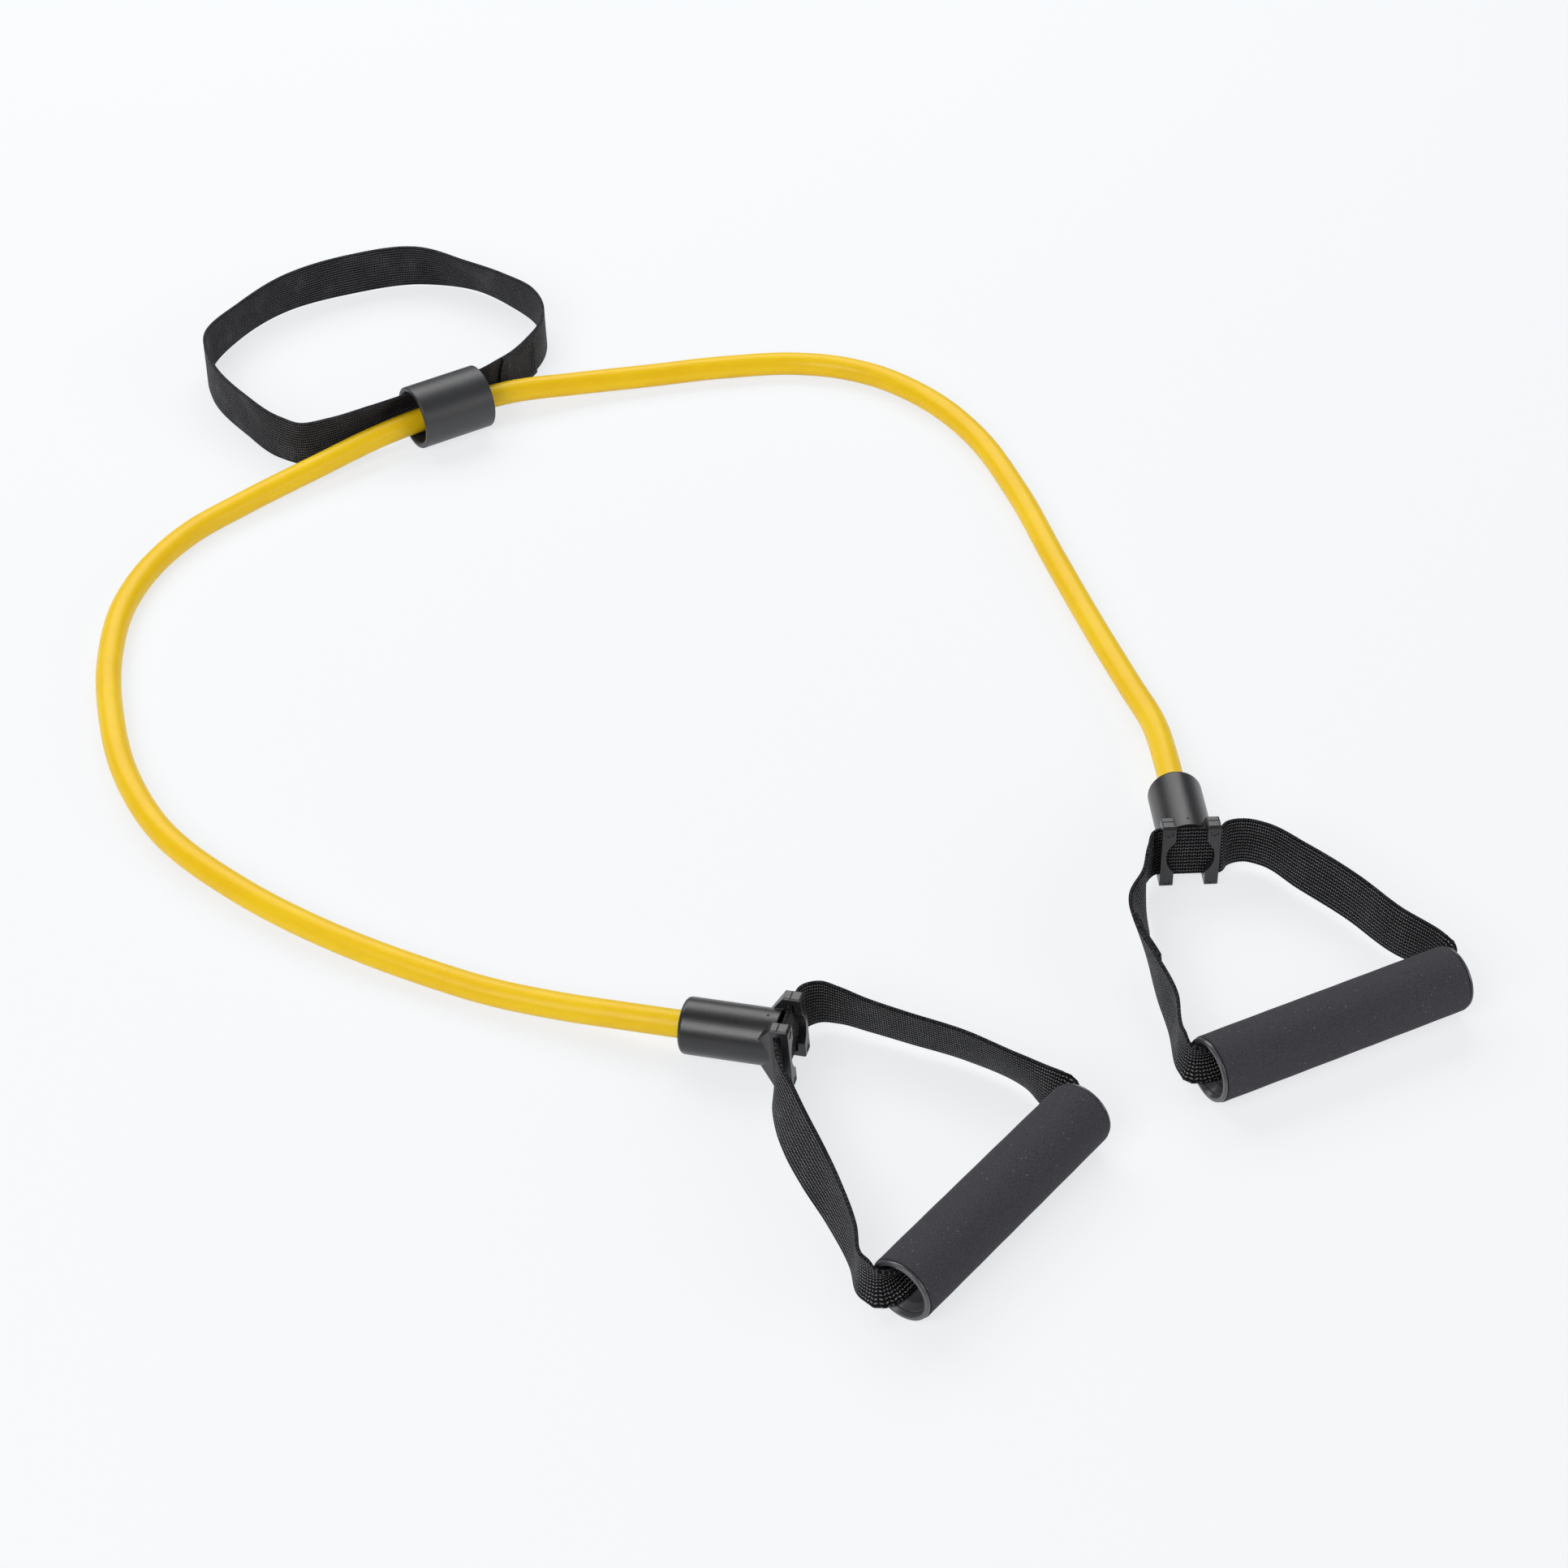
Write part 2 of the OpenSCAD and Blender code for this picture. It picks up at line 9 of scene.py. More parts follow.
import bpy
import numpy as np
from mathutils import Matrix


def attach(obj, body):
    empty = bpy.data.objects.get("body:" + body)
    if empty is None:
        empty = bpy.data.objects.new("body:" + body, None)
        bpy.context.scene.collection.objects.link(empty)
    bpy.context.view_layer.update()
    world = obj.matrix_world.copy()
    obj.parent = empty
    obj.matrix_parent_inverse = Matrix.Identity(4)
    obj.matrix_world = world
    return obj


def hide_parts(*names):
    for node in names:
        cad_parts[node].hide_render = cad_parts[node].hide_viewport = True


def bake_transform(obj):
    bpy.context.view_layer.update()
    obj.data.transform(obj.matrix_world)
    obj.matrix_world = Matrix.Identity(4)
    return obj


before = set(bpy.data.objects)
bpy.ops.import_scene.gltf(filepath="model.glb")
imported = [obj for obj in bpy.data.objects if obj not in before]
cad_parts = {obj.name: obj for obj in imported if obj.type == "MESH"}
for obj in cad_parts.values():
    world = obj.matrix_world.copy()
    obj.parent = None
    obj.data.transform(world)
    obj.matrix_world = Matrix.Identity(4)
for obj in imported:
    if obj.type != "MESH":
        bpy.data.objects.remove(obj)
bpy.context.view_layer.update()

MM = 0.001
UP = np.array([0.0, 0.0, 1.0])
LOG = logging.getLogger("resistance_band")
WEB_WIDTH = 25.0
WEB_THICK = 1.5
WEB_PLAY = 0.35

Array = np.ndarray
Pair = tuple[float, float]
Colour = tuple[float, float, float]
Place = tuple[float, float, float]
LegPoint = tuple[float, float, float]
Material = bpy.types.Material
Piece = bpy.types.Object
Socket = bpy.types.NodeSocket

BLACK: Colour = (0.0, 0.0, 0.0)
WHITE: Colour = (1.0, 1.0, 1.0)


class Slot(Enum):
    """Names of the record's material slots for the tube, the webbing and the foam."""

    TUBE = "tube_rubber"
    WEBBING = "webbing"
    FOAM = "grip_foam"


class SeamFace(Enum):
    """Face of a strap that carries the second layer of its sewn overlap."""

    INNER = 1
    OUTER = -1


# Curves


def unit(vector: Sequence[float]) -> Array:
    """Scale a vector that isn't zero to length one."""
    array = np.asarray(vector, float)
    return array / np.linalg.norm(array)


def slopes_of(points: Array, closed: bool) -> tuple[Array, Array]:
    """Find the smooth curve's direction at each of its points.

    Args:
        points: Rows that start with x, y and z.
        closed: Whether the last point joins the first.

    Returns:
        Distance from each point to the next, and each row's change for a unit of length.
    """
    moves = np.roll(points, -1, axis=0) - points
    ahead = np.linalg.norm(moves[:, :3], axis=1)[:, None]
    after = moves / ahead
    before, behind = np.roll(after, 1, axis=0), np.roll(ahead, 1, axis=0)
    slopes = (before * ahead + after * behind) / (ahead + behind)
    if not closed:
        slopes[0], slopes[-1] = after[0], before[-1]
    return ahead[:, 0], slopes


def smooth_curve(points: Array, step: float, closed: bool) -> tuple[Array, Array]:
    """Sample the smooth curve through a list of points.

    Args:
        points: Rows that start with x, y and z; further columns are carried along.
        step: Greatest distance between two samples.
        closed: Whether the last point joins the first.

    Returns:
        The sampled rows, and for each its place in the list, one unit a point.
    """
    lengths, slopes = slopes_of(points, closed)
    rows, places = [], []
    count = len(points)
    for index in range(count if closed else count - 1):
        length, after = lengths[index], (index + 1) % count
        leave, arrive = slopes[index] * length, slopes[after] * length
        for t in np.arange(0, 1, 1 / max(1, math.ceil(length / step))):
            rows.append(points[index] * (2 * t**3 - 3 * t**2 + 1) + leave * (t**3 - 2 * t**2 + t)
                        + points[after] * (3 * t**2 - 2 * t**3) + arrive * (t**3 - t**2))
            places.append(index + t)
    if not closed:
        rows.append(points[-1])
        places.append(float(count - 1))
    return np.array(rows), np.array(places)


def directions(line: Array, closed: bool) -> Array:
    """Find the unit direction of a sampled line at each sample.

    Args:
        line: Rows that start with x, y and z.
        closed: Whether the last sample joins the first.

    Returns:
        One unit vector a row.
    """
    spots = line[:, :3]
    if closed:
        run = np.roll(spots, -1, axis=0) - np.roll(spots, 1, axis=0)
    else:
        run = np.vstack([spots[1:], spots[-1:]]) - np.vstack([spots[:1], spots[:-1]])
    return run / np.linalg.norm(run, axis=1)[:, None]


def run_along(line: Array) -> Array:
    """Measure how far along a sampled line each of its samples lies."""
    steps = np.linalg.norm(np.diff(line[:, :3], axis=0), axis=1)
    return np.concatenate([[0], np.cumsum(steps)])


def round_about(count: int) -> Array:
    """List the angles of points spaced evenly round a circle, in radians."""
    return 2 * math.pi * np.arange(count) / count


# Meshes


@dataclass
class Sheath:
    """Rings of points joined into a closed skin, with a place along and across for each point."""

    rings: list[Array]
    along: list[float]
    across: Array
    closed: bool

    def faces(self, first: int) -> tuple[list[tuple[int, ...]], list[Pair]]:
        """List the skin's faces and the flat place of each corner.

        Args:
            first: Number of the skin's first point in the mesh.

        Returns:
            Faces as point numbers, and along and across in millimetres for each corner in turn.
        """
        count, size = len(self.rings), len(self.rings[0])
        faces, flat = [], []
        for ring in range(count if self.closed else count - 1):
            low, high = first + ring * size, first + (ring + 1) % count * size
            here = self.along[ring]
            there = self.along[ring + 1] if ring + 1 < count else self.along[0] + self.turn_length()
            for spot in range(size):
                beside = (spot + 1) % size
                faces.append((low + spot, high + spot, high + beside, low + beside))
                left, right = self.across[spot], self.across[beside]
                flat += [(here, left), (there, left), (there, right), (here, right)]
        if not self.closed:
            for ring, order in ((0, range(size)), (count - 1, range(size - 1, -1, -1))):
                faces.append(tuple(first + ring * size + spot for spot in order))
                flat += [(self.along[ring], self.across[spot]) for spot in order]
        return faces, flat

    def turn_length(self) -> float:
        """Give the length once round, for the last ring's join to the first."""
        gap = np.linalg.norm(self.rings[0].mean(axis=0) - self.rings[-1].mean(axis=0))
        return self.along[-1] + float(gap) - self.along[0]


def make_piece(name: str, skins: Sequence[Sheath]) -> Piece:
    """Make one smooth mesh object from skins that are given in millimetres.

    Args:
        name: Name of the piece.
        skins: Skins that together are the piece.

    Returns:
        The new object, linked to the scene.
    """
    points, faces, flat = [], [], []
    first = 0
    for skin in skins:
        more, places = skin.faces(first)
        faces += more
        flat += places
        points += skin.rings
        first += sum(len(ring) for ring in skin.rings)
    mesh = bpy.data.meshes.new(name)
    mesh.from_pydata((np.vstack(points) * MM).tolist(), [], faces)
    layer = mesh.uv_layers.new(name="weave")
    layer.data.foreach_set("uv", np.array(flat, np.float32).ravel())
    mesh.polygons.foreach_set("use_smooth", np.ones(len(faces), bool))
    mesh.update()
    piece = bpy.data.objects.new(name, mesh)
    bpy.context.scene.collection.objects.link(piece)
    return piece


def lathe(origin: Array, axis: Array, profile: Array, sides: int) -> Sheath:
    """Turn a closed outline about an axis.

    Args:
        origin: Point on the axis, in millimetres.
        axis: Unit direction of the axis.
        profile: Rows of radius and place along the axis, round the outline.
        sides: Number of steps round the axis.

    Returns:
        The skin, closed on itself.
    """
    side = unit(np.cross(axis, UP))
    rise = np.cross(side, axis)
    rings = []
    for angle in round_about(sides):
        out = side * math.cos(angle) + rise * math.sin(angle)
        rings.append(origin + profile[:, :1] * out + profile[:, 1:] * axis)
    along = (round_about(sides) * profile[:, 0].max()).tolist()
    return Sheath(rings, along, profile[:, 1], True)


# Finishes


class Painter:
    """Short calls that add nodes to one material."""

    def __init__(self, name: str) -> None:
        """Start a new material that has a principled surface.

        Args:
            name: Name of the material.
        """
        self.material = bpy.data.materials.new(name)
        self.material.use_nodes = True
        self.tree = self.material.node_tree
        self.surface = self.tree.nodes["Principled BSDF"]

    def fill(self, node: bpy.types.Node, **values: object) -> bpy.types.Node:
        """Set a node's properties, and set or join its inputs.

        Args:
            node: Node to fill.
            values: Properties; a key that isn't one names an input, with underscores for spaces.

        Returns:
            The same node.
        """
        for key, value in values.items():
            if hasattr(node, key):
                setattr(node, key, value)
            elif isinstance(value, Socket):
                self.link(value, node.inputs[key.replace("_", " ")])
            else:
                node.inputs[key.replace("_", " ")].default_value = value
        return node

    def node(self, kind: str, **values: object) -> bpy.types.Node:
        """Add a node and fill it."""
        return self.fill(self.tree.nodes.new(kind), **values)

    def coat(self, **values: object) -> None:
        """Fill the surface."""
        self.fill(self.surface, **values)

    def link(self, out: Socket, into: Socket) -> None:
        """Join an output to an input."""
        self.tree.links.new(out, into)

    def maths(self, operation: str, *terms: Socket | float) -> Socket:
        """Add a maths node.

        Args:
            operation: Blender's name of the operation.
            terms: Sockets or numbers that it works on.

        Returns:
            The node's output.
        """
        made = self.node("ShaderNodeMath", operation=operation)
        for term, into in zip(terms, made.inputs):
            if isinstance(term, (int, float)):
                into.default_value = term
            else:
                self.link(term, into)
        return made.outputs[0]

    def around(self, value: Socket, middle: float, swing: float) -> Socket:
        """Spread a value of 0 to 1 evenly to both sides of a middle."""
        return self.maths("MULTIPLY_ADD", value, swing, middle - swing / 2)

    def raised(self, wave: Socket) -> Socket:
        """Bring a wave between -1 and 1 to between 0 and 1."""
        return self.maths("MULTIPLY_ADD", wave, 0.5, 0.5)

    def noise(self, where: Socket, scale: float, detail: float = 2.0) -> Socket:
        """Draw a noise of 0 to 1 on given coordinates, with so many marks to their unit."""
        return self.node("ShaderNodeTexNoise", Vector=where, Scale=scale, Detail=detail).outputs["Fac"]

    def ramp(self, value: Socket, *stops: tuple[float, Colour]) -> Socket:
        """Turn a value into a colour.

        Args:
            value: Socket to read.
            stops: Places from 0 to 1, each with its colour.

        Returns:
            The colour's socket.
        """
        made = self.node("ShaderNodeValToRGB", Fac=value)
        elements = made.color_ramp.elements
        for index in (0, -1):
            elements[index].position = stops[index][0]
            elements[index].color = (*stops[index][1], 1)
        for place, colour in stops[1:-1]:
            elements.new(place).color = (*colour, 1)
        return made.outputs[0]

    def bump(self, height: Socket, distance: float, strength: float, normal: Socket | None = None) -> None:
        """Give the surface a bump.

        Args:
            height: Height as a share of the distance.
            distance: Depth of the bump in metres.
            strength: Share of the bump that shows.
            normal: Direction of the surface under the bump, if it isn't the mesh's own.
        """
        made = self.node("ShaderNodeBump", Height=height, Distance=distance, Strength=strength)
        if normal is not None:
            self.link(normal, made.inputs["Normal"])
        self.coat(Normal=made.outputs[0])

    def place(self) -> Socket:
        """Give the point's place on the object, in metres."""
        return self.node("ShaderNodeTexCoord").outputs["Object"]

    def flat(self) -> tuple[Socket, Socket]:
        """Give the point's places along and across its piece, in millimetres."""
        unrolled = self.node("ShaderNodeUVMap", uv_map="weave").outputs[0]
        return tuple(self.node("ShaderNodeSeparateXYZ", Vector=unrolled).outputs)[:2]


@dataclass(frozen=True)
class RubberFinish:
    """Satin latex of the tube, slightly cloudy, with faint drawn lines along it."""

    name: str = "tube_latex"
    light: Colour = (0.94, 0.62, 0.009)
    dark: Colour = (0.9, 0.575, 0.007)
    clouds: Pair = (0.35, 0.62)
    line_stretch: float = 0.05
    roughness: float = 0.38

    def build(self) -> Material:
        """Make the material.

        Returns:
            The latex.
        """
        paint = Painter(self.name)
        cloud = paint.noise(paint.place(), scale=38, detail=4)
        along, round_tube = paint.flat()
        lengthwise = paint.maths("MULTIPLY", along, self.line_stretch)
        lines = paint.node("ShaderNodeCombineXYZ", X=lengthwise, Y=round_tube).outputs[0]
        drawn = paint.noise(lines, scale=3.2, detail=3)
        paint.bump(drawn, distance=0.00003, strength=0.5)
        paint.coat(Base_Color=paint.ramp(cloud, *zip(self.clouds, (self.dark, self.light))),
                   Roughness=paint.around(drawn, middle=self.roughness, swing=0.08),
                   Specular_IOR_Level=0.28, Subsurface_Weight=0.45, Subsurface_Scale=0.005,
                   Subsurface_Radius=(1.0, 1.0, 0.4))
        return paint.material


@dataclass(frozen=True)
class WebbingFinish:
    """Woven webbing: slanted thread crowns that make chevrons, drawn together into ribs in places; the
    crowns' colour is partly a painted highlight.
    """

    name: str
    # Colour of the thread crowns: partly the pale thread, partly a painted highlight in place of a specular
    # one
    crown_highlight: Colour
    valley: Colour
    pick: float = 1.12
    end: float = 0.88
    slant: float = 0.6
    rib: float = 0.2
    selvedge: float = 12.1
    edge: float = 0.42
    bare: float = 0.28
    half_bare: float = 0.25
    half_crown: float = 0.45
    full_crown: float = 0.95
    roughness: float = 0.62
    polish: float = 0.14

    def build(self) -> Material:
        """Make the material.

        Returns:
            The webbing.
        """
        paint = Painter(self.name)
        along, across = paint.flat()
        where = paint.place()
        drift = paint.around(paint.noise(where, scale=420), middle=0.0, swing=0.9)
        turns = paint.maths("MULTIPLY", along, math.pi / self.pick)
        picks = paint.maths("ABSOLUTE", paint.maths("SINE", turns))
        slanted = paint.maths("MULTIPLY_ADD", paint.maths("PINGPONG", along, self.pick), self.slant, across)
        ends = paint.maths("SINE", paint.maths("MULTIPLY_ADD", slanted, math.pi / self.end, drift))
        drawn = paint.around(paint.noise(where, scale=75), middle=self.rib, swing=1.6)
        ribbed = paint.maths("MULTIPLY_ADD", paint.maths("SUBTRACT", 1.0, ends), drawn, ends)
        inside = paint.maths("LESS_THAN", paint.maths("ABSOLUTE", across), self.selvedge)
        bound = paint.maths("MULTIPLY_ADD", inside, paint.maths("SUBTRACT", ribbed, self.edge), self.edge)
        wave = paint.maths("MULTIPLY", picks, bound)
        crown_highlight = paint.maths("MAXIMUM", wave, 0.0)
        fuzz = paint.around(paint.noise(where, scale=900), middle=0.9, swing=1.1)
        # Valley to crown tone: the brightest crowns carry a painted highlight
        middle = tuple((1 - self.half_crown) * low + self.half_crown * high
                       for low, high in zip(self.valley, self.crown_highlight))
        tone = paint.ramp(paint.maths("MULTIPLY", crown_highlight, fuzz), (self.bare, self.valley),
                          (self.bare + self.half_bare, middle), (self.full_crown, self.crown_highlight))
        paint.bump(paint.raised(wave), distance=0.0005, strength=0.9)
        paint.coat(Base_Color=tone, Specular_IOR_Level=0.12, Sheen_Weight=0.01, Sheen_Roughness=0.5,
                   Roughness=paint.maths("MULTIPLY_ADD", crown_highlight, -self.polish, self.roughness))
        return paint.material


@dataclass(frozen=True)
class MouldedFinish:
    """Black moulded plastic: a fine spark-eroded grain with faint flow marks, and paler along sharp edges.
    """

    name: str
    colour: Colour
    pale_tone: Colour
    roughness: float
    grain: float
    grain_depth: float
    shine: float
    edges: Pair = (0.51, 0.6)
    tones: Pair = (0.05, 0.75)
    wear: float = 0.6
    flow: float = 0.35

    def build(self) -> Material:
        """Make the material.

        Returns:
            The plastic.
        """
        paint = Painter(self.name)
        where = paint.place()
        pointed = paint.node("ShaderNodeNewGeometry").outputs["Pointiness"]
        # Paler tone along sharp edges, in patches
        edges = paint.ramp(pointed, *zip(self.edges, (BLACK, WHITE)))
        pale_edges = paint.maths("MULTIPLY", edges, paint.noise(where, scale=300, detail=3))
        marks = paint.noise(where, scale=60, detail=3)
        flow = paint.maths("MULTIPLY_ADD", marks, self.flow, paint.maths("MULTIPLY", pale_edges, self.wear))
        fine = paint.noise(where, scale=self.grain)
        rounded = paint.node("ShaderNodeBevel", samples=4, Radius=0.0005)
        paint.bump(fine, distance=self.grain_depth, strength=0.8, normal=rounded.outputs[0])
        paint.coat(Base_Color=paint.ramp(flow, *zip(self.tones, (self.colour, self.pale_tone))),
                   Roughness=paint.around(fine, middle=self.roughness, swing=0.18),
                   Specular_IOR_Level=self.shine)
        return paint.material


@dataclass(frozen=True)
class FoamFinish:
    """Charcoal closed-cell foam: fine cells, a soft bloom and a few pale specks."""

    name: str = "grip_foam_cells"
    dark: Colour = (0.021, 0.02, 0.0238)
    light: Colour = (0.082, 0.0785, 0.091)
    speck: Colour = (0.16, 0.16, 0.17)
    cells: Pair = (0.25, 0.75)
    speck_radius: float = 0.16
    speck_free: float = 0.86
    lump: float = 0.6

    def build(self) -> Material:
        """Make the material.

        Returns:
            The foam.
        """
        paint = Painter(self.name)
        where = paint.place()
        cells = paint.noise(where, scale=2600)
        base = paint.ramp(cells, *zip(self.cells, (self.dark, self.light)))
        spots = paint.node("ShaderNodeTexVoronoi", Vector=where, Scale=560.0, Randomness=1.0).outputs
        near = paint.maths("LESS_THAN", spots["Distance"], self.speck_radius)
        draw = paint.node("ShaderNodeSeparateColor", Color=spots["Color"]).outputs[0]
        kept = paint.maths("GREATER_THAN", draw, self.speck_free)
        mix = paint.node("ShaderNodeMix", data_type="RGBA", Factor=paint.maths("MULTIPLY", near, kept))
        first, second = (socket for socket in mix.inputs if socket.type == "RGBA")
        paint.link(base, first)
        second.default_value = (*self.speck, 1)
        lumps = paint.maths("MULTIPLY", paint.noise(where, scale=160), self.lump)
        paint.bump(paint.maths("ADD", cells, lumps), distance=0.0001, strength=0.8)
        paint.coat(Base_Color=next(socket for socket in mix.outputs if socket.type == "RGBA"),
                   Roughness=0.82, Specular_IOR_Level=0.15, Sheen_Weight=0.03, Sheen_Roughness=0.6)
        return paint.material


@dataclass(frozen=True)
class ThreadFinish:
    """Twisted black sewing thread."""

    name: str = "seam_thread"
    dark: Colour = (0.008, 0.008, 0.009)
    light: Colour = (0.045, 0.045, 0.05)
    tones: Pair = (0.1, 0.9)
    twist: float = 7.0
    lean: float = 4.0

    def build(self) -> Material:
        """Make the material.

        Returns:
            The thread.
        """
        paint = Painter(self.name)
        along, across = paint.flat()
        leaning = paint.maths("MULTIPLY", across, self.lean)
        strands = paint.maths("SINE", paint.maths("MULTIPLY_ADD", along, self.twist, leaning))
        tone = paint.ramp(paint.raised(strands), *zip(self.tones, (self.dark, self.light)))
        paint.bump(strands, distance=0.0001, strength=0.6)
        paint.coat(Base_Color=tone, Roughness=0.55)
        return paint.material


@dataclass(frozen=True)
class FloorFinish:
    """Plain pale floor that shows a soft shadow and stays even to the camera."""

    name: str = "pale_floor"
    colour: Colour = (0.938, 0.955, 0.973)
    shade_share: float = 0.24

    def build(self) -> Material:
        """Make the material.

        Returns:
            The floor's finish.
        """
        paint = Painter(self.name)
        paint.coat(Base_Color=(*self.colour, 1), Roughness=0.9, Specular_IOR_Level=0.1)
        glow = paint.node("ShaderNodeEmission", Color=(*self.colour, 1), Strength=1.0)
        paths = paint.node("ShaderNodeLightPath").outputs
        mirrored = paint.maths("MAXIMUM", paths["Is Glossy Ray"], paths["Is Transmission Ray"])
        seen = paint.maths("MAXIMUM", paths["Is Camera Ray"], mirrored)
        mix = paint.node("ShaderNodeMixShader")
        paint.link(paint.maths("MULTIPLY", seen, 1 - self.shade_share), mix.inputs[0])
        paint.link(paint.surface.outputs[0], mix.inputs[1])
        paint.link(glow.outputs[0], mix.inputs[2])
        paint.link(mix.outputs[0], paint.tree.nodes["Material Output"].inputs[0])
        return paint.material


@dataclass
class Palette:
    """All finishes of the band, made once."""

    tube: Material
    handle_webbing: Material
    anchor_webbing: Material
    connector: Material
    ring: Material
    core: Material
    sleeve: Material
    plug: Material
    foam: Material
    thread: Material

    @classmethod
    def mixed(cls) -> "Palette":
        """Make every finish.

        Returns:
            The finishes.
        """
        return cls(
            tube=RubberFinish().build(),
            # Webbing crown colours are partly painted highlights on the thread crowns
            handle_webbing=WebbingFinish(
                "handle_webbing", crown_highlight=(0.26, 0.257, 0.274), valley=(0.0012, 0.0012, 0.0017)).build(),
            anchor_webbing=WebbingFinish(
                "anchor_webbing", crown_highlight=(0.14, 0.138, 0.148), valley=(0.005, 0.0048, 0.006),
                pick=1.0, end=0.75, rib=0.36, bare=0.2).build(),
            connector=MouldedFinish(
                "connector_plastic", colour=(0.007, 0.007, 0.008), pale_tone=(0.026, 0.026, 0.0285),
                roughness=0.31, grain=3000, grain_depth=0.00007, shine=0.64).build(),
            # The rings are lighter than the other black plastics, partly as painted light on their faces
            # and flares
            ring=MouldedFinish(
                "ring_plastic", colour=(0.05, 0.05, 0.055), pale_tone=(0.10, 0.10, 0.11),
                roughness=0.26, grain=1800, grain_depth=0.00001, shine=0.6).build(),
            core=MouldedFinish(
                "core_plastic", colour=(0.006, 0.006, 0.007), pale_tone=(0.014, 0.014, 0.015),
                roughness=0.5, grain=1800, grain_depth=0.00003, shine=0.2).build(),
            sleeve=MouldedFinish(
                "sleeve_plastic", colour=(0.02, 0.0205, 0.023), pale_tone=(0.04, 0.041, 0.045),
                roughness=0.44, grain=1400, grain_depth=0.00003, shine=0.72).build(),
            plug=MouldedFinish(
                "plug_plastic", colour=(0.05, 0.05, 0.05), pale_tone=(0.09, 0.09, 0.09),
                roughness=0.5, grain=1500, grain_depth=0.00005, shine=0.4).build(),
            foam=FoamFinish().build(),
            thread=ThreadFinish().build(),
        )


def dress(piece: Piece, material: Material) -> Piece:
    """Give a piece one material.

    Args:
        piece: Mesh object to dress.
        material: Finish for its whole surface.

    Returns:
        The same piece.
    """
    piece.data.materials.clear()
    piece.data.materials.append(material)
    return piece


# Studio


@dataclass(frozen=True)
class Softbox:
    """A soft rectangular lamp that faces the middle of the floor; metres and watts."""

    name: str
    place: Place
    size: Pair
    power: float

    def hang(self) -> None:
        """Hang the lamp in the scene."""
        data = bpy.data.lights.new(self.name, "AREA")
        data.shape = "RECTANGLE"
        data.size, data.size_y = self.size
        data.energy = self.power
        lamp = bpy.data.objects.new(self.name, data)
        lamp.location = self.place
        away = unit(self.place)
        lamp.rotation_euler = (math.acos(away[2]), 0, math.atan2(away[0], -away[1]))
        bpy.context.scene.collection.objects.link(lamp)


@dataclass
class Studio:
    """Camera, floor and soft light."""

    target: Place = (0.0095, -0.052, 0.0)
    elevation: float = 40.0
    distance: float = 1.5682
    focal_px: float = 4200.0
    image_px: float = 1932.0
    sensor_mm: float = 36.0
    sight: float = 50.0
    floor_size: float = 12.0
    fill: float = 0.15
    backdrop: float = 0.98
    tint: Colour = (0.95, 0.97, 1.0)
    lamps: tuple[Softbox, ...] = (
        Softbox("back_softbox", place=(-0.45, 1.4, 1.5), size=(2.6, 1.2), power=34.0),
        Softbox("front_softbox", place=(-1.0, -1.6, 1.5), size=(1.3, 1.2), power=29.0),
        Softbox("side_softbox", place=(1.7, -0.5, 0.7), size=(1.2, 0.8), power=9.0))

    def build(self) -> None:
        """Set up the camera, floor, lamps and world."""
        scene = bpy.context.scene
        scene.view_settings.view_transform = "Standard"
        self.add_camera(scene)
        self.add_floor()
        for lamp in self.lamps:
            lamp.hang()
        self.add_world(scene)

    def add_camera(self, scene: bpy.types.Scene) -> None:
        """Stand the camera where the picture was taken from.

        Args:
            scene: Scene that gets the camera.
        """
        data = bpy.data.cameras.new("camera")
        data.sensor_width = self.sensor_mm
        data.lens = self.focal_px / self.image_px * self.sensor_mm
        data.clip_end = self.sight
        camera = bpy.data.objects.new("camera", data)
        tilt = math.radians(self.elevation)
        camera.location = (self.target[0], self.target[1] - self.distance * math.cos(tilt),
                           self.target[2] + self.distance * math.sin(tilt))
        camera.rotation_euler = (math.pi / 2 - tilt, 0, 0)
        scene.collection.objects.link(camera)
        scene.camera = camera

    def add_floor(self) -> None:
        """Lay the floor."""
        half = self.floor_size / 2
        corners = [(-half, -half, 0), (half, -half, 0), (half, half, 0), (-half, half, 0)]
        mesh = bpy.data.meshes.new("floor")
        mesh.from_pydata(corners, [], [(0, 1, 2, 3)])
        floor = bpy.data.objects.new("floor", mesh)
        bpy.context.scene.collection.objects.link(floor)
        dress(floor, FloorFinish().build())

    def add_world(self, scene: bpy.types.Scene) -> None:
        """Fill the shadows a little from all round, with a white backdrop to the camera alone.

        Args:
            scene: Scene that gets the world.
        """
        world = bpy.data.worlds.new("studio")
        world.use_nodes = True
        nodes, links = world.node_tree.nodes, world.node_tree.links
        background = nodes["Background"]
        background.inputs["Color"].default_value = (*self.tint, 1)
        level = nodes.new("ShaderNodeMath")
        level.operation = "MULTIPLY_ADD"
        level.inputs[1].default_value = self.backdrop - self.fill
        level.inputs[2].default_value = self.fill
        links.new(nodes.new("ShaderNodeLightPath").outputs["Is Camera Ray"], level.inputs[0])
        links.new(level.outputs[0], background.inputs["Strength"])
        scene.world = world


# Elastic tube


